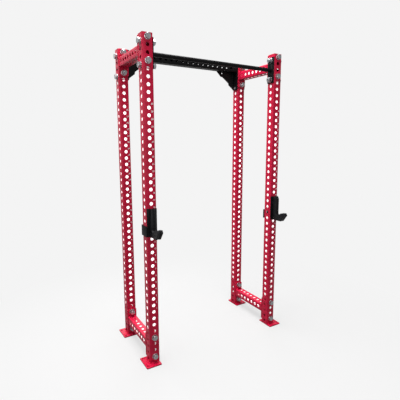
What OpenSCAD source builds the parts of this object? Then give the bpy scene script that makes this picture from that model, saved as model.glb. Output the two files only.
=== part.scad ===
// Power cage: four perforated square uprights on foot plates, joined by bolted side beams,
// with a round pull-up bar in front, a gusseted beam behind and two J-cups that pull off
// the front uprights sideways.
// +X is the user's right, -Y the front and +Z up. The origin is on the floor, under the
// middle of the cage with its J-cups on.

/* [Frame] */
// Width between the centres of the left and right uprights
frame_w = 1130; // [900:5:1400]
// Depth between the centres of the front and rear uprights
frame_d = 485; // [400:5:1200]
// Overall height
frame_h = 2335; // [1900:1:2850]

/* [Square tube] */
// Side of an upright
upright_s = 75; // [66:1:95]
// Side of a side beam
side_beam_s = 70; // [50:1:85]
// Height and depth of the rear beam
rear_beam_s = 65; // [50:1:75]
// Wall of every tube
tube_wall = 3; // [2:0.5:4]
// Outer corner radius of every tube
tube_corner = 5; // [4.5:0.5:8]

/* [Holes] */
// Spacing of the holes in uprights and beams
pitch = 50; // [50:1:62]
// Diameter of the holes
hole_d = 25; // [24.5:0.5:28]
// Holes from one bolt of a joint to the other
bolt_rows = 3; // [3:1:4]

/* [Foot plates] */
// Thickness
foot_t = 10; // [6:1:15]
// Reach beyond the outer side face of the upright
foot_side = 42; // [34:1:60]
// Reach beyond the upright's face, away from the cage's middle
foot_outer = 40; // [22:1:60]
// Reach beyond the upright's face, towards the cage's middle
foot_inner = 30; // [0:1:45]
// Corner radius
foot_corner = 4; // [1:1:10]
// Diameter of an anchor hole
anchor_d = 12; // [8:1:14]
// Spacing of a foot's two anchor holes
anchor_spacing = 105; // [80:5:115]
// Distance of the anchor holes from the upright's side face
anchor_side = 25; // [12:1:27]

/* [Flanges] */
// Width of a side beam's flange
side_flange_w = 80; // [66:1:95]
// Thickness of a side beam's flange
side_flange_t = 6; // [4:1:12]
// Corner radius of a side beam's flange
side_flange_corner = 12; // [2:1:20]
// Width of a pull-up bar's flange
bar_flange_w = 74; // [60:1:90]
// Thickness of a pull-up bar's flange
bar_flange_t = 6; // [4:1:12]
// From a joint's end bolt to the end of its flange
flange_end = 25; // [22:1:30]

/* [Pull-up bar] */
// Diameter
bar_d = 30; // [25:1:45]
// Wall
bar_wall = 4; // [2:0.5:6]

/* [Rear beam brackets] */
// Thickness of a bracket's flange, which the bolts are threaded into
bracket_flange_t = 10; // [6:1:16]
// Radius of the flange's lower corners
bracket_corner = 20; // [5:1:25]
// From the lower bolt to the foot of the flange
bracket_end = 22; // [22:1:30]
// Thickness of the gusset plate, which lies against one face of the beam
gusset_t = 5; // [3:1:8]
// How far the gusset plate overlaps the beam
gusset_lap = 15; // [5:1:18]
// Reach of the gusset along the underside of the beam
gusset_reach = 177; // [160:1:240]
// Drop of the gusset below the beam, at the flange
gusset_drop = 144; // [120:1:150]
// Start of the gusset's level step, from the flange
gusset_step_x = 117; // [100:1:125]
// Length of the level step
gusset_step_l = 15; // [5:1:25]
// Drop of the level step
gusset_step_drop = 43; // [30:1:60]
// Place of the gusset's upright step, from the flange
gusset_notch_x = 48; // [30:1:70]
// Drop at the top of the upright step
gusset_notch_drop = 93; // [75:1:95]
// Height of the upright step
gusset_notch_h = 18; // [8:1:20]
// Diameter of the gusset's hole
gusset_hole_d = 12; // [8:1:14]
// Place of the hole, from the flange
gusset_hole_x = 121; // [90:1:130]
// Drop of the hole below the beam
gusset_hole_drop = 12; // [10:1:16]

/* [Bolts] */
// Diameter of a bolt
bolt_d = 24; // [20:1:24]
// Width across the flats of its head and nut
bolt_af = 36; // [30:1:38]
// Height of the head
head_h = 15; // [10:1:18]
// Height of the nut
nut_h = 21; // [15:1:24]
// Diameter of a washer
washer_d = 44; // [37:1:46]
// Thickness of a washer
washer_t = 4; // [2:0.5:5]
// Thread beyond the nut
bolt_end = 4; // [1:1:8]

/* [Top plugs] */
// Depth of the plug that closes an upright's top
plug_h = 10; // [4:1:12]

/* [J-cups] */
// Side hole that the pin sits in, counted from the top, from 0
jcup_hole = 25; // [6:1:36]
// Height of the front plate
jcup_h = 200; // [190:1:240]
// Thickness of the steel plates
jcup_t = 6; // [4:1:8]
// Height of the pin above the foot of the front plate
jcup_pin_h = 58; // [48:1:60]
// Diameter of the pin
jcup_pin_d = 24; // [20:0.5:24.4]
// How far the pin's end stays inside the upright's inner face
jcup_pin_short = 2; // [0:1:20]
// Height of the bracket around the upright
jcup_wrap_h = 75; // [72:1:90]
// Outer bend radius of the bracket
jcup_bend = 9; // [8.5:0.5:12]
// Thickness of the pad behind the upright
jcup_pad_t = 9; // [4:1:12]
// Width of the post and hook over both liners
jcup_hook_w = 38; // [30:1:46]
// Thickness of the steel core between the liners
jcup_core_t = 8; // [5:1:10]
// How far the liners stand proud of the core
jcup_proud = 2; // [1:0.5:3]
// Front of the post, from the upright's face
jcup_post = 43; // [36:1:48]
// Front of the hook's lip, from the upright's face
jcup_tip = 148; // [135:1:165]
// Radius of the cradle for the barbell
jcup_cradle_r = 19; // [17:1:22]
// Height of the cradle's floor above the foot of the front plate
jcup_floor = 42; // [34:1:50]
// Diameter of a liner screw
screw_d = 8; // [6:1:8]
// Diameter of its head
screw_head_d = 14; // [12:1:15]
// Depth of the head's and the nut's recess
screw_recess = 6; // [5:1:8]

/* [Fits] */
// Gap between a J-cup and its upright
slide_gap = 0.4; // [0.3:0.1:1]
// Gap between a plug and the tube around it, each side
plug_gap = 0.3; // [0.1:0.1:0.8]
// Radial gap between a bolt and its washer
washer_gap = 0.5; // [0.3:0.1:1]
// Radial gap between a bolt or screw and its nut
thread_gap = 0.1; // [0.05:0.05:0.3]
// Radial gap between a liner screw and the hole it passes
screw_gap = 0.3; // [0.2:0.1:0.8]

/* [Hidden] */
$fn = 64;

red = "crimson";
black = [0.09, 0.09, 0.1];
zinc = "silver";
plastic = [0.16, 0.16, 0.18];
cut = 1; // overrun of every cutting shape

// Places of the uprights
rear_reach = max(foot_outer, washer_t + head_h);
shift_y = (jcup_tip - rear_reach) / 2;
function upright_x(sx) = sx * frame_w / 2;
function upright_y(sy) = sy * frame_d / 2 + shift_y;
inner_w = frame_w - upright_s;
inner_d = frame_d - upright_s;

// Holes: those through the side faces lie half a pitch below those through the front
front_count = floor((frame_h - foot_t - pitch) / pitch) + 1;
side_count = floor((frame_h - foot_t - 1.5 * pitch) / pitch) + 1;
function front_z(i) = frame_h - (i + 0.5) * pitch;
function side_z(i) = frame_h - (i + 1) * pitch;

// Joints
bolt_span = bolt_rows * pitch;
flange_h = bolt_span + 2 * flange_end;
top_beam_z = front_z(bolt_rows / 2);
bottom_beam_z = front_z(front_count - 1 - bolt_rows / 2);
bar_z = side_z(bolt_rows / 2);
side_bolt_zs = [for (mid = [top_beam_z, bottom_beam_z], s = [-1, 1]) mid + s * bolt_span / 2];
cross_bolt_zs = [for (s = [-1, 1]) bar_z + s * bolt_span / 2];
side_beam_l = inner_d - 2 * side_flange_t;
side_beam_steps = floor((side_beam_l - pitch) / 2 / pitch);

// Rear beam, flush with the tops of the uprights
rear_beam_under = frame_h - rear_beam_s;
rear_beam_l = inner_w - 2 * bracket_flange_t;
rear_beam_steps = floor((rear_beam_l - pitch) / 2 / pitch);
bracket_w = rear_beam_s + 2 * gusset_t;
bracket_foot = cross_bolt_zs[0] - bracket_end;

// J-cup, seen from the side: distance in front of the upright's face, height above its foot
jcup_z = side_z(jcup_hole) - jcup_pin_h;
jcup_face = slide_gap + jcup_t;
jcup_half = upright_s / 2;
jcup_rear = jcup_half + slide_gap + jcup_pad_t;
cradle_mid = [jcup_post + jcup_cradle_r, jcup_floor + jcup_cradle_r];
lip_angle = 35; // slope of the lip's inner side
lip_front_z = 53;
lip_top_z = 71;
post_bevel = [10, 20];
function jcup_outline(inset) = concat(
    [[jcup_face, inset], [jcup_tip - 42 - inset / 2, inset], [jcup_tip - 1.5 * inset, lip_front_z],
     [jcup_tip - 12, lip_top_z - 1.5 * inset], [jcup_tip - 44, lip_top_z - 4 - 1.2 * inset]],
    [for (a = [270 + lip_angle : -12.5 : 180])
        cradle_mid + (jcup_cradle_r + inset) * [cos(a), sin(a)]],
    [[jcup_post - inset, jcup_h - post_bevel[1]], [jcup_post - post_bevel[0] - inset, jcup_h - inset],
     [jcup_face, jcup_h - inset]]
);
jcup_screws = [[24, 160], [24, 30], [100, 28]];

module rounded_rect(w, h, r) {
    square([w - 2 * r, h], center = true);
    square([w, h - 2 * r], center = true);
    for (x = [-1, 1], y = [-1, 1])
        translate([x * (w / 2 - r), y * (h / 2 - r)]) circle(r);
}

// A square tube that stands on z = 0
module square_tube(side, length) {
    linear_extrude(length) difference() {
        rounded_rect(side, side, tube_corner);
        rounded_rect(side - 2 * tube_wall, side - 2 * tube_wall, tube_corner - tube_wall);
    }
}

// A hole through both walls of a tube at the origin, along X or along Y
module hole_x(through) rotate([0, 90, 0]) cylinder(d = hole_d, h = through + 2 * cut, center = true);
module hole_y(through) rotate([90, 0, 0]) cylinder(d = hole_d, h = through + 2 * cut, center = true);

module upright(sx, sy) {
    color(red) translate([upright_x(sx), upright_y(sy), 0]) difference() {
        translate([0, 0, foot_t]) square_tube(upright_s, frame_h - foot_t);
        for (i = [0 : front_count - 1]) translate([0, 0, front_z(i)]) hole_y(upright_s);
        for (i = [0 : side_count - 1]) translate([0, 0, side_z(i)]) hole_x(upright_s);
    }
}

module foot(sx, sy) {
    long = upright_s + foot_outer + foot_inner;
    wide = upright_s + foot_side;
    color(red) translate([upright_x(sx), upright_y(sy), 0]) linear_extrude(foot_t) difference() {
        translate([sx * foot_side / 2, sy * (foot_outer - foot_inner) / 2])
            rounded_rect(wide, long, foot_corner);
        for (s = [-1, 1])
            translate([sx * (upright_s / 2 + anchor_side), s * anchor_spacing / 2])
                circle(d = anchor_d);
    }
}

module top_plug(sx, sy) {
    side = upright_s - 2 * (tube_wall + plug_gap);
    color(black) translate([upright_x(sx), upright_y(sy), frame_h - plug_h])
        linear_extrude(plug_h) rounded_rect(side, side, tube_corner - tube_wall);
}

// Holes of a side beam's side faces and of its top and underside, at the same places
module side_beam(sx, mid_z) {
    color(red) translate([upright_x(sx), shift_y, mid_z]) difference() {
        rotate([90, 0, 0]) translate([0, 0, -side_beam_l / 2]) square_tube(side_beam_s, side_beam_l);
        for (i = [-side_beam_steps : side_beam_steps]) translate([0, i * pitch, 0]) {
            hole_x(side_beam_s);
            cylinder(d = hole_d, h = side_beam_s + 2 * cut, center = true);
        }
    }
}

// A flange in the XZ plane, centred on the origin, reaching from y = 0 to its thickness
module flange(w, t, r) {
    rotate([90, 0, 0]) translate([0, 0, -t]) linear_extrude(t) difference() {
        rounded_rect(w, flange_h, r);
        for (s = [-1, 1]) translate([0, s * bolt_span / 2]) circle(d = hole_d);
    }
}

module side_flanges(sx, mid_z) {
    color(red) for (s = [-1, 1])
        translate([upright_x(sx), shift_y - s * inner_d / 2, mid_z])
            rotate([0, 0, s < 0 ? 180 : 0]) flange(side_flange_w, side_flange_t, side_flange_corner);
}

module pull_up_bar() {
    length = inner_w - 2 * bar_flange_t;
    color(black) translate([0, upright_y(-1), bar_z]) rotate([0, 90, 0]) difference() {
        cylinder(d = bar_d, h = length, center = true);
        cylinder(d = bar_d - 2 * bar_wall, h = length + 2 * cut, center = true);
    }
}

module bar_flange(sx) {
    color(black) translate([sx * inner_w / 2, upright_y(-1), bar_z])
        rotate([0, 0, sx * 90]) flange(bar_flange_w, bar_flange_t, 2);
}

module rear_beam() {
    color(black) translate([0, upright_y(1), rear_beam_under + rear_beam_s / 2]) difference() {
        rotate([0, 90, 0]) translate([0, 0, -rear_beam_l / 2]) square_tube(rear_beam_s, rear_beam_l);
        for (i = [-rear_beam_steps : rear_beam_steps]) translate([i * pitch, 0, 0]) hole_y(rear_beam_s);
    }
}

// Gusset plate: distance from the flange's face, height above the beam's underside
module gusset_outline() {
    difference() {
        polygon([
            [0, gusset_lap], [gusset_reach, gusset_lap], [gusset_reach, 0],
            [gusset_step_x + gusset_step_l, -gusset_step_drop], [gusset_step_x, -gusset_step_drop],
            [gusset_notch_x, -gusset_notch_drop],
            [gusset_notch_x - 4, -gusset_notch_drop - gusset_notch_h], [0, -gusset_drop]
        ]);
        translate([gusset_hole_x, -gusset_hole_drop]) circle(d = gusset_hole_d);
    }
}

module bracket_flange_outline() {
    foot_drop = rear_beam_under - bracket_foot;
    translate([-bracket_w / 2, -foot_drop + bracket_corner])
        square([bracket_w, rear_beam_s + foot_drop - bracket_corner]);
    translate([-bracket_w / 2 + bracket_corner, -foot_drop])
        square([bracket_w - 2 * bracket_corner, bracket_corner + cut]);
    for (s = [-1, 1])
        translate([s * (bracket_w / 2 - bracket_corner), -foot_drop + bracket_corner])
            circle(bracket_corner);
}

// The two brackets are one shape, turned half around: the left one's gusset is in front of the
// beam and the right one's behind it
module rear_bracket(sx) {
    color(black) translate([sx * inner_w / 2, upright_y(1), 0]) rotate([0, 0, sx > 0 ? 180 : 0]) {
        difference() {
            translate([0, 0, rear_beam_under]) rotate([90, 0, 90])
                linear_extrude(bracket_flange_t) bracket_flange_outline();
            for (z = cross_bolt_zs) translate([-cut, 0, z]) rotate([0, 90, 0])
                cylinder(d = bolt_d + 2 * thread_gap, h = bracket_flange_t + 2 * cut);
        }
        translate([bracket_flange_t, gusset_t - bracket_w / 2, rear_beam_under])
            rotate([90, 0, 0]) linear_extrude(gusset_t) gusset_outline();
    }
}

// Fasteners stand on the upright's outer face at z = 0 and point out along +Z
module bolt(depth) {
    translate([0, 0, washer_t]) cylinder(d = bolt_af / cos(30), h = head_h, $fn = 6);
    translate([0, 0, -depth]) cylinder(d = bolt_d, h = depth + washer_t + cut);
}

module nut(grip) {
    translate([0, 0, -grip - washer_t - nut_h]) difference() {
        cylinder(d = bolt_af / cos(30), h = nut_h, $fn = 6);
        translate([0, 0, -cut]) cylinder(d = bolt_d + 2 * thread_gap, h = nut_h + 2 * cut);
    }
}

module washer(z) {
    translate([0, 0, z]) difference() {
        cylinder(d = washer_d, h = washer_t);
        translate([0, 0, -cut]) cylinder(d = bolt_d + 2 * washer_gap, h = washer_t + 2 * cut);
    }
}

module washers(grip) {
    washer(0);
    washer(-grip - washer_t);
}

module at_side_beam_bolts() {
    for (sx = [-1, 1], sy = [-1, 1], z = side_bolt_zs)
        translate([upright_x(sx), upright_y(sy) + sy * upright_s / 2, z])
            rotate([-90 * sy, 0, 0]) children();
}

module at_cross_bolts(sy) {
    for (sx = [-1, 1], z = cross_bolt_zs)
        translate([sx * (frame_w + upright_s) / 2, upright_y(sy), z])
            rotate([0, 90 * sx, 0]) children();
}

side_grip = upright_s + side_flange_t;
bar_grip = upright_s + bar_flange_t;
nut_reach = washer_t + nut_h + bolt_end;

module side_beam_bolts() color(zinc) at_side_beam_bolts() bolt(side_grip + nut_reach);
module side_beam_nuts() color(zinc) at_side_beam_bolts() nut(side_grip);
module side_beam_washers() color(zinc) at_side_beam_bolts() washers(side_grip);

// In front they hold the pull-up bar with nuts, behind they end in the brackets
module cross_bolts() {
    color(zinc) at_cross_bolts(-1) bolt(bar_grip + nut_reach);
    color(zinc) at_cross_bolts(1) bolt(upright_s + bracket_flange_t);
}

module cross_nuts() color(zinc) at_cross_bolts(-1) nut(bar_grip);

module cross_washers() {
    color(zinc) at_cross_bolts(-1) washers(bar_grip);
    color(zinc) at_cross_bolts(1) washer(0);
}

// A J-cup is drawn for the right upright, around the upright's axis, with its outer side
// towards +X and the foot of its front plate at z = 0
module at_jcup(sx) {
    translate([upright_x(sx), upright_y(-1), jcup_z]) mirror([sx < 0 ? 1 : 0, 0, 0]) children();
}

module jcup_plate(sx) {
    wide = upright_s + slide_gap;
    color(black) at_jcup(sx)
        translate([-jcup_half, -jcup_half - jcup_face, 0]) cube([wide, jcup_t, jcup_h]);
}

// Side plate and rear plate, folded from one strip
module jcup_bracket(sx) {
    inside = jcup_half + slide_gap;
    back = jcup_rear + jcup_t;
    color(black) at_jcup(sx) linear_extrude(jcup_wrap_h) {
        translate([inside, -jcup_half - jcup_face])
            square([jcup_t, jcup_half + jcup_face + back - jcup_bend]);
        translate([-jcup_half, jcup_rear])
            square([jcup_half + inside + jcup_t - jcup_bend, jcup_t]);
        translate([inside + jcup_t - jcup_bend, back - jcup_bend]) intersection() {
            difference() {
                circle(jcup_bend);
                circle(jcup_bend - jcup_t);
            }
            square(jcup_bend + cut);
        }
    }
}

module jcup_pin(sx) {
    tip = 2; // bevel of the pin's end
    length = jcup_half + slide_gap + jcup_half - jcup_pin_short;
    color(black) at_jcup(sx) translate([jcup_half + slide_gap, 0, jcup_pin_h]) rotate([0, -90, 0]) {
        cylinder(d = jcup_pin_d, h = length - tip);
        translate([0, 0, length - tip]) cylinder(d1 = jcup_pin_d, d2 = jcup_pin_d - 2 * tip, h = tip);
    }
}

// Turns a side view, drawn as distance in front of the upright and height, into a plate
// from x = low to x = high
module side_plate(low, high) {
    translate([low, -jcup_half, 0]) rotate([90, 0, -90]) mirror([0, 0, 1])
        linear_extrude(high - low) children();
}

module jcup_core(sx) {
    color(black) at_jcup(sx) side_plate(-jcup_core_t / 2, jcup_core_t / 2) difference() {
        polygon(jcup_outline(jcup_proud));
        for (p = jcup_screws) translate(p) circle(d = screw_d + 2 * screw_gap);
    }
}

// side is -1 for the liner towards the cage's middle and 1 for the outer one
module jcup_liner(sx, side) {
    low = side < 0 ? -jcup_hook_w / 2 : jcup_core_t / 2;
    high = low + (jcup_hook_w - jcup_core_t) / 2;
    recess_x = side < 0 ? low - cut : high - screw_recess;
    color(plastic) at_jcup(sx) difference() {
        side_plate(low, high) difference() {
            polygon(jcup_outline(0));
            for (p = jcup_screws) translate(p) circle(d = screw_d + 2 * screw_gap);
        }
        for (p = jcup_screws) translate([recess_x, -jcup_half - p[0], p[1]])
            rotate([0, 90, 0]) cylinder(d = screw_head_d + 2 * screw_gap, h = screw_recess + cut);
    }
}

module jcup_pad(sx) {
    edge = 3; // how far the pad stays inside the rear plate
    color(plastic) at_jcup(sx) translate([edge - jcup_half, jcup_half + slide_gap, edge])
        cube([upright_s - 2 * edge, jcup_pad_t, jcup_wrap_h - 2 * edge]);
}

module at_jcup_screws(sx) {
    at_jcup(sx) for (p = jcup_screws) translate([0, -jcup_half - p[0], p[1]])
        rotate([0, 90, 0]) children();
}

module jcup_screws(sx) {
    seat = jcup_hook_w / 2 - screw_recess;
    head = screw_recess - 1;
    color(black) at_jcup_screws(sx) difference() {
        union() {
            translate([0, 0, -jcup_hook_w / 2 + 1]) cylinder(d = screw_d, h = seat + jcup_hook_w / 2);
            translate([0, 0, seat]) cylinder(d = screw_head_d, h = head);
        }
        translate([0, 0, seat + head / 2]) cylinder(d = screw_d * 0.75 / cos(30), h = head, $fn = 6);
    }
}

module jcup_nuts(sx) {
    nut_t = screw_recess - 1;
    color(black) at_jcup_screws(sx) translate([0, 0, screw_recess - jcup_hook_w / 2 - nut_t])
        difference() {
            cylinder(d = screw_head_d, h = nut_t, $fn = 6);
            translate([0, 0, -cut]) cylinder(d = screw_d + 2 * thread_gap, h = nut_t + 2 * cut);
        }
}

upright(-1, -1);  // upright_front_left
upright(1, -1);  // upright_front_right
upright(-1, 1);  // upright_rear_left
upright(1, 1);  // upright_rear_right
foot(-1, -1);  // foot_front_left
foot(1, -1);  // foot_front_right
foot(-1, 1);  // foot_rear_left
foot(1, 1);  // foot_rear_right
top_plug(-1, -1);  // top_plug_front_left
top_plug(1, -1);  // top_plug_front_right
top_plug(-1, 1);  // top_plug_rear_left
top_plug(1, 1);  // top_plug_rear_right
side_beam(-1, top_beam_z);  // side_beam_top_left
side_beam(1, top_beam_z);  // side_beam_top_right
side_beam(-1, bottom_beam_z);  // side_beam_bottom_left
side_beam(1, bottom_beam_z);  // side_beam_bottom_right
side_flanges(-1, top_beam_z);  // side_flanges_top_left
side_flanges(1, top_beam_z);  // side_flanges_top_right
side_flanges(-1, bottom_beam_z);  // side_flanges_bottom_left
side_flanges(1, bottom_beam_z);  // side_flanges_bottom_right
pull_up_bar();
bar_flange(-1);  // bar_flange_left
bar_flange(1);  // bar_flange_right
rear_beam();
rear_bracket(-1);  // rear_bracket_left
rear_bracket(1);  // rear_bracket_right
side_beam_bolts();
side_beam_nuts();
side_beam_washers();
cross_bolts();
cross_nuts();
cross_washers();
jcup_plate(-1);  // jcup_left_plate
jcup_bracket(-1);  // jcup_left_bracket
jcup_pin(-1);  // jcup_left_pin
jcup_core(-1);  // jcup_left_core
jcup_liner(-1, -1);  // jcup_left_inner_liner
jcup_liner(-1, 1);  // jcup_left_outer_liner
jcup_pad(-1);  // jcup_left_pad
jcup_screws(-1);  // jcup_left_screws
jcup_nuts(-1);  // jcup_left_nuts
jcup_plate(1);  // jcup_right_plate
jcup_bracket(1);  // jcup_right_bracket
jcup_pin(1);  // jcup_right_pin
jcup_core(1);  // jcup_right_core
jcup_liner(1, -1);  // jcup_right_inner_liner
jcup_liner(1, 1);  // jcup_right_outer_liner
jcup_pad(1);  // jcup_right_pad
jcup_screws(1);  // jcup_right_screws
jcup_nuts(1);  // jcup_right_nuts
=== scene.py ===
# Builds the looks of a power cage: perforated tubes, plates, welds, bolts and J-cups around the fixed frame
import math
import bpy
import bmesh
from mathutils import Matrix, Vector


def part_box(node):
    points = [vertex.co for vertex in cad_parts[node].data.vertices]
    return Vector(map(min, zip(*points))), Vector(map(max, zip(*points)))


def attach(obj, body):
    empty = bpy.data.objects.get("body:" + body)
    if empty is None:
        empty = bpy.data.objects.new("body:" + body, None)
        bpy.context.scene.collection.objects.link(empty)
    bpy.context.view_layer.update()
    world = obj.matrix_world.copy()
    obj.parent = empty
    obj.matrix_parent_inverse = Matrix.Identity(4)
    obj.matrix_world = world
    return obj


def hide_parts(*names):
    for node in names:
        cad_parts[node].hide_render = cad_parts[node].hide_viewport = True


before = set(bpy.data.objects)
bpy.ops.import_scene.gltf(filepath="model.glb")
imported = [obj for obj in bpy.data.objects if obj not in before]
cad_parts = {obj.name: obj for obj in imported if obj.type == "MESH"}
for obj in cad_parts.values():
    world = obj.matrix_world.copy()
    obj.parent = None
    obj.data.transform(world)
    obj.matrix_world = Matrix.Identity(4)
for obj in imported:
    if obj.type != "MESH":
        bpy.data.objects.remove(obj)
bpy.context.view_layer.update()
print("frame loaded:", len(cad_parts), "nodes")

mm = 0.001
near = 0.01  # in millimetres: points this close are one
sides = {"left": -1, "right": 1}
ends = {"front": -1, "rear": 1}


def srgb(code):
    parts = [int(code[i:i + 2], 16) / 255 for i in (1, 3, 5)]
    return [p / 12.92 if p <= 0.04045 else ((p + 0.055) / 1.055) ** 2.4 for p in parts] + [1]


def addNode(tree, kind, inputs=None, **settings):
    node = tree.nodes.new(kind)
    for key, value in settings.items():
        setattr(node, key, value)
    for key, value in (inputs or {}).items():
        if isinstance(value, bpy.types.NodeSocket):
            tree.links.new(value, node.inputs[key])
        else:
            node.inputs[key].default_value = value
    return node


def newSurface(name, constants):
    material = bpy.data.materials.new(name)
    material.use_nodes = True
    shader = material.node_tree.nodes["Principled BSDF"]
    for key, value in constants.items():
        shader.inputs[key].default_value = value
    spot = addNode(material.node_tree, "ShaderNodeTexCoord").outputs["Object"]
    return material, material.node_tree, shader, spot


def cloud(tree, spot, sizeMm):
    # noise with features of a size given in millimetres
    pattern = {"Vector": spot, "Scale": 1000 / sizeMm, "Detail": 2.0}
    return addNode(tree, "ShaderNodeTexNoise", pattern).outputs["Fac"]


def between(tree, amount, low, high):
    # spreads the middle of a noise over a range
    spread = {"Value": amount, "From Min": 0.3, "From Max": 0.7, "To Min": low, "To Max": high}
    return addNode(tree, "ShaderNodeMapRange", spread).outputs["Result"]


def paint(tree, shader, amount, lowCode, highCode):
    colours = {0: between(tree, amount, 0, 1), 6: srgb(lowCode), 7: srgb(highCode)}
    mixed = addNode(tree, "ShaderNodeMix", colours, data_type="RGBA")
    tree.links.new(mixed.outputs[2], shader.inputs["Base Color"])


def gloss(tree, shader, amount, low, high):
    tree.links.new(between(tree, amount, low, high), shader.inputs["Roughness"])


def relief(tree, shader, height, depthMm, strength):
    bump = addNode(tree, "ShaderNodeBump", {"Height": height, "Distance": depthMm * mm, "Strength": strength})
    tree.links.new(bump.outputs["Normal"], shader.inputs["Normal"])


def redPowderCoat():
    # polyester powder coat, sprayed and baked: even deep red with a soft orange-peel gloss
    material, tree, shader, spot = newSurface("redPowderCoat", {"IOR": 1.5, "Specular IOR Level": 0.28})
    paint(tree, shader, cloud(tree, spot, 160), "#BE0D37", "#C8123D")
    gloss(tree, shader, cloud(tree, spot, 45), 0.32, 0.42)
    relief(tree, shader, cloud(tree, spot, 2.5), 0.03, 0.3)  # orange peel, 2 to 3 mm across
    return material


def blackPowderCoat():
    # fine-texture powder coat: near black, a dense grain that scatters the highlights
    material, tree, shader, spot = newSurface("blackPowderCoat", {"IOR": 1.5, "Specular IOR Level": 0.1})
    paint(tree, shader, cloud(tree, spot, 90), "#0B0B0C", "#121213")
    gloss(tree, shader, cloud(tree, spot, 30), 0.36, 0.46)
    relief(tree, shader, cloud(tree, spot, 1.2), 0.06, 0.5)  # grain 1.2 mm across, coarser than a real one
    return material


def zincPlate():
    # zinc electroplate over forged steel: mid-grey metal with a cloudy, slightly milky sheen
    material, tree, shader, spot = newSurface("zincPlate", {"Metallic": 1.0})
    paint(tree, shader, cloud(tree, spot, 14), "#A9ABAE", "#BDBFC2")
    gloss(tree, shader, cloud(tree, spot, 8), 0.2, 0.32)
    relief(tree, shader, cloud(tree, spot, 2.5), 0.02, 0.2)
    return material


def palePrimer():
    # pale zinc-rich primer inside the tubes: chalky, nearly white, no gloss; it also glows white at a strength
    # of 0.4, a painted glow that brightens the holes though it is no lamp
    glow = {"IOR": 1.45, "Emission Color": srgb("#FFFFFF"), "Emission Strength": 0.4}
    material, tree, shader, spot = newSurface("palePrimer", glow)
    paint(tree, shader, cloud(tree, spot, 60), "#F2EFF0", "#FAF8F8")
    gloss(tree, shader, cloud(tree, spot, 20), 0.7, 0.85)
    return material


def uhmwPlastic():
    # machined UHMW polyethylene: dark grey, waxy, with faint cutter marks about 4 mm apart
    material, tree, shader, spot = newSurface("uhmwPlastic", {"IOR": 1.53, "Specular IOR Level": 0.15})
    paint(tree, shader, cloud(tree, spot, 40), "#131315", "#1B1B1E")
    gloss(tree, shader, cloud(tree, spot, 12), 0.32, 0.42)
    gapAtOne = 314.159  # millimetres between two bands at a scale of 1
    bands = {"Vector": spot, "Scale": gapAtOne / 3.94584, "Distortion": 1.5}
    marks = addNode(tree, "ShaderNodeTexWave", bands, bands_direction="Z").outputs["Fac"]
    relief(tree, shader, marks, 0.03, 0.25)
    return material


def screenInk():
    # screen-printed epoxy ink: flat white film, thin enough to look uneven
    material, tree, shader, spot = newSurface("screenInk", {"IOR": 1.5, "Specular IOR Level": 0.3})
    paint(tree, shader, cloud(tree, spot, 6), "#EDE6E8", "#FFFDFD")
    gloss(tree, shader, cloud(tree, spot, 12), 0.55, 0.7)
    return material


def mouldedPlastic():
    # injection-moulded polyethylene: soft black with a fine spark-eroded grain
    material, tree, shader, spot = newSurface("mouldedPlastic", {"IOR": 1.51, "Specular IOR Level": 0.4})
    paint(tree, shader, cloud(tree, spot, 25), "#141415", "#1B1B1D")
    gloss(tree, shader, cloud(tree, spot, 9), 0.5, 0.62)
    relief(tree, shader, cloud(tree, spot, 0.8), 0.05, 0.4)
    return material


def blackOxide():
    # oiled black-oxide steel: dark metal with a low, uneven gleam
    material, tree, shader, spot = newSurface("blackOxide", {"Metallic": 1.0})
    paint(tree, shader, cloud(tree, spot, 6), "#2A2A2D", "#3A3A3D")
    gloss(tree, shader, cloud(tree, spot, 4), 0.32, 0.46)
    return material


coats = {
    "frame_paint": redPowderCoat(), "black_paint": blackPowderCoat(), "zinc": zincPlate(),
    "liner_plastic": uhmwPlastic(), "plug_plastic": mouldedPlastic(), "black_steel": blackOxide(),
}
# the pale primer with a painted glow, for the insides of the tubes
insideCoatPaintedGlow = palePrimer()
numberInk = screenInk()
print("materials ready:", len(coats) + 2)


def place(bm, name, coat, body, *nodes, inside=None, finish=None, crease=35):
    bmesh.ops.recalc_face_normals(bm, faces=bm.faces)
    mesh = bpy.data.meshes.new(name)
    bm.to_mesh(mesh)
    bm.free()
    mesh.materials.append(finish or coats[coat])
    if inside:
        mesh.materials.append(inside)
    mesh.shade_smooth()
    mesh.set_sharp_from_angle(angle=math.radians(crease))
    piece = bpy.data.objects.new(name, mesh)
    bpy.context.scene.collection.objects.link(piece)
    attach(piece, body)
    if nodes:
        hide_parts(*nodes)


def stamp(bm, mesh, matrix):
    # adds a copy of a mesh at a place
    count = len(bm.verts)
    bm.from_mesh(mesh)
    bm.verts.ensure_lookup_table()
    bmesh.ops.transform(bm, matrix=matrix, verts=bm.verts[count:])


def asMesh(bm):
    mesh = bpy.data.meshes.new("template")
    bm.to_mesh(mesh)
    bm.free()
    return mesh


def turn(degrees, axis):
    return Matrix.Rotation(math.radians(degrees), 4, axis)


def vertsOf(geometry):
    return [item for item in geometry if isinstance(item, bmesh.types.BMVert)]


tubes = {
    "upright": {"side": 75, "wall": 3, "corner": 5, "hole": 25, "pitch": 50, "rows": 46},
    "sideBeam": {"side": 70, "wall": 3, "corner": 5, "hole": 25, "pitch": 50, "rows": 7},
    "rearBeam": {"side": 65, "wall": 3, "corner": 5, "hole": 25, "pitch": 50, "rows": 19},
    "cuts": 6,  # edges along one pitch; a hole gets four times as many
    "cornerSteps": 3,
    "glowingPrimedStretch": (225, 2110),  # the stretch of an upright that is primed inside, where the primer's painted glow shows through the holes; below it, only the +X wall is
}


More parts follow.
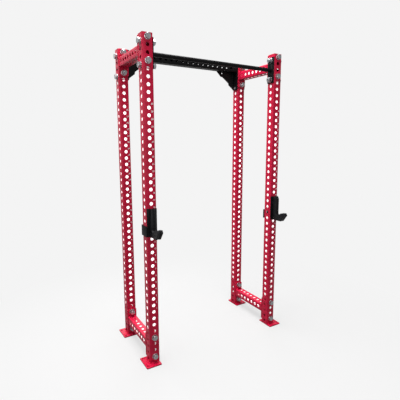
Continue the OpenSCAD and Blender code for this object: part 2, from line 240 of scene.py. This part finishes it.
def wallCell(size, height, rows, holed):
    # one stretch of a tube's wall, facing -Y, with its middle at z = 0
    bm = bmesh.new()
    flat = size["side"] - 2 * size["corner"]
    if holed:
        bmesh.ops.create_circle(bm, segments=4, radius=math.sqrt(0.5), matrix=turn(45, "Z"))
        bmesh.ops.subdivide_edges(bm, edges=list(bm.edges), cuts=rows - 1)
        bmesh.ops.scale(bm, vec=(flat, height, 1), verts=bm.verts)
        outside = list(bm.edges)
        ring = bmesh.ops.create_circle(bm, segments=4 * rows, radius=size["hole"] / 2)["verts"]
        inside = [e for e in bm.edges if e.verts[0] in ring]
        bmesh.ops.bridge_loops(bm, edges=outside + inside)
        skin = list(bm.faces)
        bore = bmesh.ops.extrude_edge_only(bm, edges=inside)["geom"]
        bmesh.ops.translate(bm, vec=(0, 0, -size["wall"]), verts=vertsOf(bore))
    else:
        bmesh.ops.create_grid(bm, x_segments=tubes["cuts"], y_segments=rows, size=0.5)
        bmesh.ops.scale(bm, vec=(flat, height, 1), verts=bm.verts)
        skin = list(bm.faces)
    back = bmesh.ops.duplicate(bm, geom=skin)["geom"]
    bmesh.ops.translate(bm, vec=(0, 0, -size["wall"]), verts=vertsOf(back))
    bmesh.ops.transform(bm, matrix=turn(90, "X"), verts=bm.verts)
    bmesh.ops.translate(bm, vec=(0, -size["side"] / 2, 0), verts=bm.verts)
    bmesh.ops.remove_doubles(bm, verts=bm.verts, dist=near)
    return asMesh(bm)


def tubeWall(size, length, holes):
    # one side of a tube from z = 0 up, with the rounded corner on its +X edge
    bm = bmesh.new()
    pitch = size["pitch"]
    step = pitch / tubes["cuts"]
    cell = wallCell(size, pitch, tubes["cuts"], True)
    edges = [0] + [z + s * pitch / 2 for z in holes for s in (-1, 1)] + [length]
    for z in holes:
        stamp(bm, cell, Matrix.Translation((0, 0, z)))
    for low, high in zip(edges[::2], edges[1::2]):
        if high - low > 1:  # neighbouring cells leave nothing between them
            plain = wallCell(size, high - low, max(1, round((high - low) / step)), False)
            stamp(bm, plain, Matrix.Translation((0, 0, (low + high) / 2)))
    bmesh.ops.remove_doubles(bm, verts=bm.verts, dist=near)
    edgeX = size["side"] / 2 - size["corner"]
    border = [e for e in bm.edges if e.is_boundary and all(abs(v.co.x - edgeX) < near for v in e.verts)]
    bmesh.ops.spin(bm, geom=border + list({v for e in border for v in e.verts}), cent=(edgeX, -edgeX, 0),
                   axis=(0, 0, 1), angle=math.pi / 2, steps=tubes["cornerSteps"])
    return asMesh(bm)


def perforatedTube(size, length, frontHoles, sideHoles, glowingPrimedStretch):
    # a square tube along Z, its four walls joined into one closed shell; inside it the primer, with its
    # painted glow, shows over the stretch given and on the +X wall below it, and the outer coat on the rest
    bm = bmesh.new()
    walls = [tubeWall(size, length, frontHoles), tubeWall(size, length, sideHoles)]
    for k in range(4):
        stamp(bm, walls[k % 2], turn(90 * k, "Z"))
    bmesh.ops.remove_doubles(bm, verts=bm.verts, dist=near)
    for z in (0, length):
        rim = [e for e in bm.edges if e.is_boundary and all(abs(v.co.z - z) < near for v in e.verts)]
        bmesh.ops.bridge_loops(bm, edges=rim)
    innerHalf = size["side"] / 2 - size["wall"] + 0.1  # just outside the inner faces
    for face in bm.faces:
        middle = face.calc_center_median()
        inner = max(abs(middle.x), abs(middle.y)) < innerHalf
        lowerWall = middle.z < glowingPrimedStretch[0] and middle.x > innerHalf - size["wall"]
        face.material_index = int(inner and (lowerWall or glowingPrimedStretch[0] < middle.z < glowingPrimedStretch[1]))
    bmesh.ops.scale(bm, vec=(mm, mm, mm), verts=bm.verts)
    return bm


def nodeMiddle(node):
    low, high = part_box(node)
    return (low + high) / 2, low, high


def middleHoles(size, length):
    # a row of holes spread evenly about a beam's middle
    half = size["rows"] // 2
    return [length / 2 + size["pitch"] * i for i in range(-half, half + 1)]


def makeUprights():
    # both columns are counted down from the top, the side ones half a pitch lower
    size = tubes["upright"]
    _, low, high = nodeMiddle("upright_front_left")
    length = round((high.z - low.z) / mm)
    pitch = size["pitch"]
    frontHoles = [length - pitch / 2 - pitch * i for i in range(size["rows"])][::-1]
    sideHoles = [length - pitch - pitch * i for i in range(size["rows"])][::-1]
    shape = asMesh(perforatedTube(size, length, frontHoles, sideHoles, tubes["glowingPrimedStretch"]))
    for end in ends:
        for side in sides:
            name = f"upright_{end}_{side}"
            middle, low, _ = nodeMiddle(name)
            bm = bmesh.new()
            stamp(bm, shape, Matrix.Translation((middle.x, middle.y, low.z)))
            # the insides get the pale primer with its painted glow
            place(bm, f"{name}_tube", "frame_paint", "cage", name, inside=insideCoatPaintedGlow)


def makeBeams():
    size = tubes["sideBeam"]
    for level in ("top", "bottom"):
        for side in sides:
            name = f"side_beam_{level}_{side}"
            middle, low, high = nodeMiddle(name)
            length = (high.y - low.y) / mm
            holes = middleHoles(size, length)
            # the other side beams get the primer with its painted glow inside
            glowingPrimedStretch = (0, 0) if name == "side_beam_top_left" else (0, length)  # that one is red inside
            bm = perforatedTube(size, length, holes, holes, glowingPrimedStretch)
            spot = Matrix.Translation((middle.x, low.y, middle.z))
            bmesh.ops.transform(bm, matrix=spot @ turn(-90, "X"), verts=bm.verts)
            place(bm, f"{name}_tube", "frame_paint", "cage", name, inside=insideCoatPaintedGlow)
    size = tubes["rearBeam"]
    middle, low, high = nodeMiddle("rear_beam")
    length = (high.x - low.x) / mm
    bm = perforatedTube(size, length, middleHoles(size, length), [], (0, 0))
    spot = Matrix.Translation((low.x, middle.y, middle.z))
    bmesh.ops.transform(bm, matrix=spot @ turn(90, "Y"), verts=bm.verts)
    place(bm, "rear_beam_tube", "black_paint", "cage", "rear_beam")


makeUprights()
makeBeams()
print("perforated tubes made")


def jcupNodes(*parts):
    return [f"jcup_{s}_{p}" for s in sides for p in parts]


softened = {
    "foot": {"coat": "frame_paint", "radius": 1.2, "nodes": [f"foot_{e}_{s}" for e in ends for s in sides]},
    "sideFlange": {"coat": "frame_paint", "radius": 0.8,
                   "nodes": [f"side_flanges_{v}_{s}" for v in ("top", "bottom") for s in sides]},
    "barFlange": {"coat": "black_paint", "radius": 0.8, "nodes": [f"bar_flange_{s}" for s in sides]},
    "rearBracket": {"coat": "black_paint", "radius": 0.8, "nodes": [f"rear_bracket_{s}" for s in sides]},
    "jcupSteel": {"coat": "black_paint", "radius": 0.8,
                  "nodes": jcupNodes("plate", "bracket", "core", "pin")},
    "jcupLiner": {"coat": "liner_plastic", "radius": 1.6,
                  "nodes": jcupNodes("inner_liner", "outer_liner", "pad")},
    "jcupFastener": {"coat": "black_steel", "radius": 0.4, "nodes": jcupNodes("screws", "nuts")},
}
hardAngle = 32  # degrees between two faces from which their edge is rounded
flatAngle = 1  # degrees up to which faces side by side count as one


def soften(bm, radius):
    hard = [e for e in bm.edges if len(e.link_faces) == 2 and e.calc_face_angle() > math.radians(hardAngle)]
    bmesh.ops.bevel(bm, geom=hard, offset=radius * mm, offset_type="OFFSET", segments=2, profile=0.5,
                    affect="EDGES", clamp_overlap=True, material=-1)


def softCopy(node, radius):
    bm = bmesh.new()
    bm.from_mesh(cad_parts[node].data)
    for face in bm.faces:
        face.material_index = 0
    bmesh.ops.remove_doubles(bm, verts=bm.verts, dist=near * mm)
    bmesh.ops.dissolve_limit(bm, angle_limit=math.radians(flatAngle), verts=bm.verts, edges=bm.edges)
    soften(bm, radius)
    return bm


def bodyOf(node):
    return "_".join(node.split("_")[:2]) if node.startswith("jcup") else "cage"


for kind, look in softened.items():
    for node in look["nodes"]:
        place(softCopy(node, look["radius"]), f"{node}_{kind}", look["coat"], bodyOf(node), node)
print("plates softened")

plug = {"softEdge": 1.5, "rim": 8, "dish": 3}


def makePlugs():
    for end in ends:
        for side in sides:
            node = f"top_plug_{end}_{side}"
            middle, low, high = nodeMiddle(node)
            bm = bmesh.new()
            box = Matrix.Translation(middle) @ Matrix.Diagonal((*(high - low), 1))
            bmesh.ops.create_cube(bm, size=1, matrix=box)
            lid = max(bm.faces, key=lambda f: f.calc_center_median().z)
            bmesh.ops.inset_region(bm, faces=[lid], thickness=plug["rim"] * mm, depth=0)
            bmesh.ops.inset_region(bm, faces=[lid], thickness=plug["dish"] * mm, depth=-plug["dish"] * mm)
            soften(bm, plug["softEdge"])
            place(bm, f"{node}_cap", "plug_plastic", "cage", node)


makePlugs()

bar = {"segments": 64}


def makeBar():
    middle, low, high = nodeMiddle("pull_up_bar")
    radius = (high.z - low.z) / 2
    bm = bmesh.new()
    bmesh.ops.create_cone(bm, segments=bar["segments"], radius1=radius, radius2=radius, depth=high.x - low.x,
                          cap_ends=True, matrix=Matrix.Translation(middle) @ turn(90, "Y"))
    place(bm, "pull_up_bar_round", "black_paint", "cage", "pull_up_bar")


makeBar()
print("plugs and bar made")

fastener = {
    "flats": 36, "head": 15, "nut": 21, "shank": 24, "washer": 44, "washerThick": 4, "hole": 25,
    "thread": 3, "threadDeep": 1.6, "crest": 0.4, "crestDip": 0.3, "firstTurn": 1.2, "turns": 4,
    "beyond": 4, "chamfer": 2.2,
    "hexCuts": 18, "hexSlope": 30, "hexLoss": 0.8,  # the cone that takes the hexagons' corners off
    "rimEdge": 1, "rimBreak": 0.3, "holeEdge": 0.4,  # a washer's rounded edges
    "flange": 6, "threadedFlange": 10,
    "besideHeights": (2310, 2160, 210, 60), "crossHeights": (2285, 2135),
    "firstAngle": 11, "nextAngle": 37,  # each hexagon stops at its own angle
}


def hexBlock(bm, height, zLow):
    # hexagon with its corners turned off on the top and bottom
    slope = math.radians(fastener["hexSlope"])
    radius = fastener["flats"] / 2 / math.cos(math.radians(30))
    bmesh.ops.create_cone(bm, segments=6, radius1=radius, radius2=radius, depth=height, cap_ends=True,
                          matrix=Matrix.Translation((0, 0, zLow + height / 2)))
    for k in range(fastener["hexCuts"]):
        around = math.radians(360 / fastener["hexCuts"] * (k + 0.5))
        lean = Vector((math.cos(around), math.sin(around), 0))
        for end, z in ((1, zLow + height), (-1, zLow)):
            normal = (lean * math.tan(slope) + Vector((0, 0, end))).normalized()
            spot = lean * (fastener["flats"] / 2 - fastener["hexLoss"]) + Vector((0, 0, z))
            parts = list(bm.verts) + list(bm.edges) + list(bm.faces)
            cut = bmesh.ops.bisect_plane(bm, geom=parts, dist=1e-4, plane_co=spot, plane_no=normal,
                                         clear_outer=True)
            fresh = [e for e in cut["geom_cut"] if isinstance(e, bmesh.types.BMEdge)]
            if len(fresh) > 1:
                bmesh.ops.contextual_create(bm, geom=fresh)


def lathe(bm, profile, steps=32):
    # spins a profile of (radius, height) points about Z
    points = [bm.verts.new((r, 0, z)) for r, z in profile]
    lines = [bm.edges.new(pair) for pair in zip(points, points[1:])]
    bmesh.ops.spin(bm, geom=points + lines, cent=(0, 0, 0), axis=(0, 0, 1), angle=2 * math.pi,
                   steps=steps, use_merge=True)


def boltShape(grip, nutted):
    bm = bmesh.new()
    hexBlock(bm, fastener["head"], fastener["washerThick"])
    tip = -grip - (fastener["washerThick"] + fastener["nut"] + fastener["beyond"] if nutted else 0)
    r = fastener["shank"] / 2
    crest, root = r - fastener["crestDip"], r - fastener["threadDeep"]
    profile = [(0, tip), (r - fastener["chamfer"], tip)]
    z = tip + fastener["firstTurn"]
    while z < tip + fastener["turns"] * fastener["thread"]:
        profile += [(crest, z), (crest, z + fastener["crest"]), (root, z + fastener["thread"] / 2)]
        z += fastener["thread"]
    inHead = fastener["washerThick"] + 1  # the shank ends inside the head
    profile += [(r, z), (r, inHead), (0, inHead)]
    lathe(bm, profile)
    return asMesh(bm)


def nutShape(grip, nutted):
    bm = bmesh.new()
    if nutted:
        hexBlock(bm, fastener["nut"], -grip - fastener["washerThick"] - fastener["nut"])
    return asMesh(bm)


def washerShape(grip, nutted):
    bm = bmesh.new()
    outer, inner, thick = fastener["washer"] / 2, fastener["hole"] / 2, fastener["washerThick"]
    edge, rounded, hole = fastener["rimEdge"], fastener["rimBreak"], fastener["holeEdge"]
    for z in (0, -grip - thick) if nutted else (0,):
        top = z + thick
        lathe(bm, [(inner, z + hole), (inner, top - hole), (inner + hole, top), (outer - edge, top),
                   (outer - rounded, top - rounded), (outer, top - edge), (outer, z + edge),
                   (outer - rounded, z + rounded), (outer - edge, z), (inner + hole, z), (inner, z + hole)],
              steps=40)
    return asMesh(bm)


def boltPlaces(kind):
    # (place, grip) of every bolt of a group, on the outer faces of the uprights; the grip is the
    # upright's width and the thickness of the flange beyond it
    places = []
    tube = tubes["upright"]["side"]
    for side, sx in sides.items():
        for end, sy in ends.items():
            middle, low, high = nodeMiddle(f"upright_{end}_{side}")
            if kind == "side_beam":
                for z in fastener["besideHeights"]:
                    spot = Vector((middle.x, high.y if sy > 0 else low.y, z * mm))
                    places.append((Matrix.Translation(spot) @ turn(-90 * sy, "X"), tube + fastener["flange"]))
            else:
                flange = fastener["flange" if sy < 0 else "threadedFlange"]
                for z in fastener["crossHeights"]:
                    spot = Vector((high.x if sx > 0 else low.x, middle.y, z * mm))
                    places.append((Matrix.Translation(spot) @ turn(90 * sx, "Y"), tube + flange))
    return places


def makeFasteners():
    # the rear brackets' own flanges are threaded, so the bolts in them have no nut
    shapes = {"bolts": boltShape, "nuts": nutShape, "washers": washerShape}
    nutless = tubes["upright"]["side"] + fastener["threadedFlange"]
    for kind in ("side_beam", "cross"):
        for what, maker in shapes.items():
            bm = bmesh.new()
            made = {}
            for k, (spot, grip) in enumerate(boltPlaces(kind)):
                if grip not in made:
                    made[grip] = maker(grip, grip < nutless)
                angle = (fastener["nextAngle"] * k + fastener["firstAngle"]) % 60
                stamp(bm, made[grip], spot @ turn(angle, "Z") @ Matrix.Scale(mm, 4))
            place(bm, f"{kind}_{what}_set", "zinc", "cage", f"{kind}_{what}", crease=28)


makeFasteners()
print("fasteners made")

numbers = {
    "count": 30, "lowest": 435, "height": 12, "right": 22, "proud": 0.12, "bolder": 0.35,
    "digitShare": 0.7,  # height of a digit over the size of the type
}


def numberShape(value):
    text = bpy.data.curves.new("holeNumber", "FONT")
    text.body = str(value)
    text.align_x = "CENTER"
    text.align_y = "CENTER"
    text.size = numbers["height"] / numbers["digitShare"] * mm
    text.extrude = numbers["proud"] * mm
    text.offset = numbers["bolder"] * mm
    text.resolution_u = 2
    holder = bpy.data.objects.new("holeNumber", text)
    mesh = bpy.data.meshes.new_from_object(holder)
    bpy.data.objects.remove(holder)
    return mesh


def makeNumbers():
    # plain counting numbers beside the front holes, from 1 at the lowest
    bm = bmesh.new()
    for k in range(numbers["count"]):
        shape = numberShape(k + 1)
        z = (numbers["lowest"] + tubes["upright"]["pitch"] * k) * mm
        for end in ends:
            for side in sides:
                middle, low, _ = nodeMiddle(f"upright_{end}_{side}")
                spot = Matrix.Translation((middle.x + numbers["right"] * mm, low.y, z))
                stamp(bm, shape, spot @ turn(90, "X"))
    place(bm, "hole_numbers", "frame_paint", "cage", finish=numberInk)


makeNumbers()
print("hole numbers printed")

weld = {"size": 2.7, "large": 4, "ripple": 3.2, "dip": 0.16, "ringParts": 18}
gussetWeld = {"reach": 177, "drop": 138, "bareFrom": 5, "bareTo": 60}  # along the beam, down, up the bare side


def weldRun(bm, start, end, size):
    # one fillet bead between two points in metres, rippled along its length
    span = Vector(end) - Vector(start)
    rings = 2 * max(1, round(span.length / mm / weld["ripple"]))
    step = span.length / mm / rings
    profile = [(size * (1 - weld["dip"] * (k % 2)), step * (k + 0.5)) for k in range(rings)]
    rod = bmesh.new()
    lathe(rod, [(0, 0)] + profile + [(0, step * rings)], steps=8)
    way = span.to_track_quat("Z", "Y").to_matrix().to_4x4()
    stamp(bm, asMesh(rod), Matrix.Translation(start) @ way @ Matrix.Scale(mm, 4))


def makeWelds():
    red = bmesh.new()
    black = bmesh.new()
    half = tubes["upright"]["side"] / 2 * mm
    flat = half - tubes["upright"]["corner"] * mm
    for end in ends:
        for side, sx in sides.items():
            middle, low, _ = nodeMiddle(f"upright_{end}_{side}")
            for s in (-1, 1):  # on the foot plate, front and back
                start = Vector((middle.x - flat, middle.y + s * half, low.z))
                weldRun(red, start, start + Vector((2 * flat, 0, 0)), weld["large"])
            start = Vector((middle.x + sx * half, middle.y - flat, low.z))
            weldRun(red, start, start + Vector((0, 2 * flat, 0)), weld["large"])
    for level in ("top", "bottom"):
        for side in sides:
            middle, low, high = nodeMiddle(f"side_beam_{level}_{side}")
            radius = (high.x - low.x) / 2
            run = radius - tubes["sideBeam"]["corner"] * mm
            for y in (low.y, high.y):
                for k in range(4):
                    out = turn(90 * k, "Y") @ Vector((0, 0, radius))
                    along = turn(90 * k, "Y") @ Vector((run, 0, 0))
                    start = Vector((middle.x, y, middle.z)) + out
                    weldRun(red, start - along, start + along, weld["size"])
    middle, low, high = nodeMiddle("pull_up_bar")
    up = Vector((0, 0, high.z - middle.z))
    turns = [turn(360 / weld["ringParts"] * k, "X") for k in range(weld["ringParts"] + 1)]
    for x in (low.x, high.x):
        ring = [Vector((x, middle.y, middle.z)) + around @ up for around in turns]
        for start, end in zip(ring, ring[1:]):
            weldRun(black, start, end, weld["size"])
    makeBracketWelds(black)
    place(red, "frame_welds", "frame_paint", "cage", crease=60)
    place(black, "bar_and_beam_welds", "black_paint", "cage", crease=60)


def makeBracketWelds(bm):
    # each bracket's gusset is in front of the beam on the left and behind it on the right
    middle, low, high = nodeMiddle("rear_beam")
    half = high.y - middle.y
    flat = half - tubes["rearBeam"]["corner"] * mm
    reach, drop, bareFrom, bareTo = (length * mm for length in gussetWeld.values())
    for sx, x in ((-1, low.x), (1, high.x)):
        corner = Vector((x, middle.y + sx * half, low.z))
        weldRun(bm, corner, corner - Vector((sx * reach, 0, 0)), weld["large"])
        weldRun(bm, corner, corner - Vector((0, 0, drop)), weld["large"])
        weldRun(bm, Vector((x, middle.y - flat, low.z)), Vector((x, middle.y + flat, low.z)), weld["size"])
        bare = Vector((x, middle.y - sx * half, low.z))
        weldRun(bm, bare + Vector((0, 0, bareFrom)), bare + Vector((0, 0, bareTo)), weld["size"])


makeWelds()
print("welds laid")

stage = {
    "floor": 14.0, "pale": "#F4F4F4", "matte": "#BEBEBE", "bounce": "#5A5A5A", "mirrored": 0.5,
    "shadowShare": 0.30, "fadeFrom": 1.0, "fadeTo": 2.2,  # how much shadow shows, and how far out it fades
    "room": 0.10, "roomMirrored": 0.42,
}


def makeStage():
    bm = bmesh.new()
    bmesh.ops.create_grid(bm, x_segments=1, y_segments=1, size=stage["floor"])
    mesh = asMesh(bm)
    floor = bpy.data.objects.new("floor", mesh)
    bpy.context.scene.collection.objects.link(floor)
    material = bpy.data.materials.new("paleFloor")
    material.use_nodes = True
    tree = material.node_tree
    tree.nodes.clear()
    seen = addNode(tree, "ShaderNodeLightPath")
    bounce = {0: seen.outputs["Is Camera Ray"], 6: srgb(stage["bounce"]), 7: srgb(stage["matte"])}
    tone = addNode(tree, "ShaderNodeMix", bounce, data_type="RGBA")
    matte = addNode(tree, "ShaderNodeBsdfDiffuse", {"Color": tone.outputs[2]})
    glow = addNode(tree, "ShaderNodeEmission", {"Color": srgb(stage["pale"]), "Strength": 1.0})
    spot = addNode(tree, "ShaderNodeTexCoord").outputs["Object"]
    away = addNode(tree, "ShaderNodeVectorMath", {0: spot}, operation="LENGTH").outputs["Value"]
    reach = {"Value": away, "From Min": stage["fadeFrom"], "From Max": stage["fadeTo"],
             "To Min": 1 - stage["shadowShare"], "To Max": 1.0}
    fade = addNode(tree, "ShaderNodeMapRange", reach).outputs["Result"]
    rays = {0: seen.outputs["Is Glossy Ray"], 1: stage["mirrored"], 2: seen.outputs["Is Camera Ray"]}
    either = addNode(tree, "ShaderNodeMath", rays, operation="MULTIPLY_ADD").outputs[0]
    share = addNode(tree, "ShaderNodeMath", {0: either, 1: fade}, operation="MULTIPLY").outputs[0]
    mixed = addNode(tree, "ShaderNodeMixShader", {0: share, 1: matte.outputs[0], 2: glow.outputs[0]})
    addNode(tree, "ShaderNodeOutputMaterial", {"Surface": mixed.outputs[0]})
    mesh.materials.append(material)


def makeWorld():
    world = bpy.data.worlds.new("studio")
    bpy.context.scene.world = world
    world.use_nodes = True
    tree = world.node_tree
    tree.nodes.clear()
    seen = addNode(tree, "ShaderNodeLightPath")
    level = {"Value": seen.outputs["Is Glossy Ray"], "To Min": stage["room"], "To Max": stage["roomMirrored"]}
    strength = addNode(tree, "ShaderNodeMapRange", level).outputs["Result"]
    room = addNode(tree, "ShaderNodeBackground", {"Color": srgb("#FFFFFF"), "Strength": strength})
    pale = addNode(tree, "ShaderNodeBackground", {"Color": srgb(stage["pale"]), "Strength": 1.0})
    through = {0: seen.outputs["Is Camera Ray"], 1: seen.outputs["Is Transmission Ray"]}
    either = addNode(tree, "ShaderNodeMath", through, operation="MAXIMUM").outputs[0]
    mixed = addNode(tree, "ShaderNodeMixShader", {0: either, 1: room.outputs[0], 2: pale.outputs[0]})
    addNode(tree, "ShaderNodeOutputWorld", {"Surface": mixed.outputs[0]})


lamps = {
    "skyLight": {"at": (-0.6, 0.2, 5.6), "aim": (0, 0, 1.0), "size": 4.0, "power": 630},
    "leftLight": {"at": (-5.0, 0.6, 3.0), "aim": (0, 0, 1.4), "size": 2.6, "power": 46},
    "frontLight": {"at": (-1.4, -5.2, 2.4), "aim": (0, 0, 1.1), "size": 3.0, "power": 82},
    "backLight": {"at": (0.8, 5.2, 4.3), "aim": (0, 0, 1.2), "size": 6.0, "power": 175},
}


def makeLamps():
    for name, look in lamps.items():
        data = bpy.data.lights.new(name, "AREA")
        data.size = look["size"]
        data.energy = look["power"]
        lamp = bpy.data.objects.new(name, data)
        bpy.context.scene.collection.objects.link(lamp)
        lamp.location = look["at"]
        lamp.rotation_euler = (Vector(look["aim"]) - lamp.location).to_track_quat("-Z", "Y").to_euler()


camera = {
    "at": (-1.51628, -2.48426, 1.62052), "yaw": 30.767, "pitch": -8.9986, "roll": -0.141,
    "focal": 354.574, "frame": 400,  # the focal length for a frame 400 wide
    "sensor": 36, "near": 0.05, "far": 60,
}


def makeCamera():
    data = bpy.data.cameras.new("mainCamera")
    data.sensor_width = camera["sensor"]
    data.lens = camera["focal"] / camera["frame"] * camera["sensor"]
    data.clip_start = camera["near"]
    data.clip_end = camera["far"]
    eye = bpy.data.objects.new("mainCamera", data)
    bpy.context.scene.collection.objects.link(eye)
    eye.matrix_world = (Matrix.Translation(camera["at"]) @ turn(-camera["yaw"], "Z")
                        @ turn(90 + camera["pitch"], "X") @ turn(camera["roll"], "Z"))
    bpy.context.scene.camera = eye


makeStage()
makeWorld()
makeLamps()
makeCamera()
bpy.context.scene.view_settings.view_transform = "Standard"
print("stage, lamps and camera set")
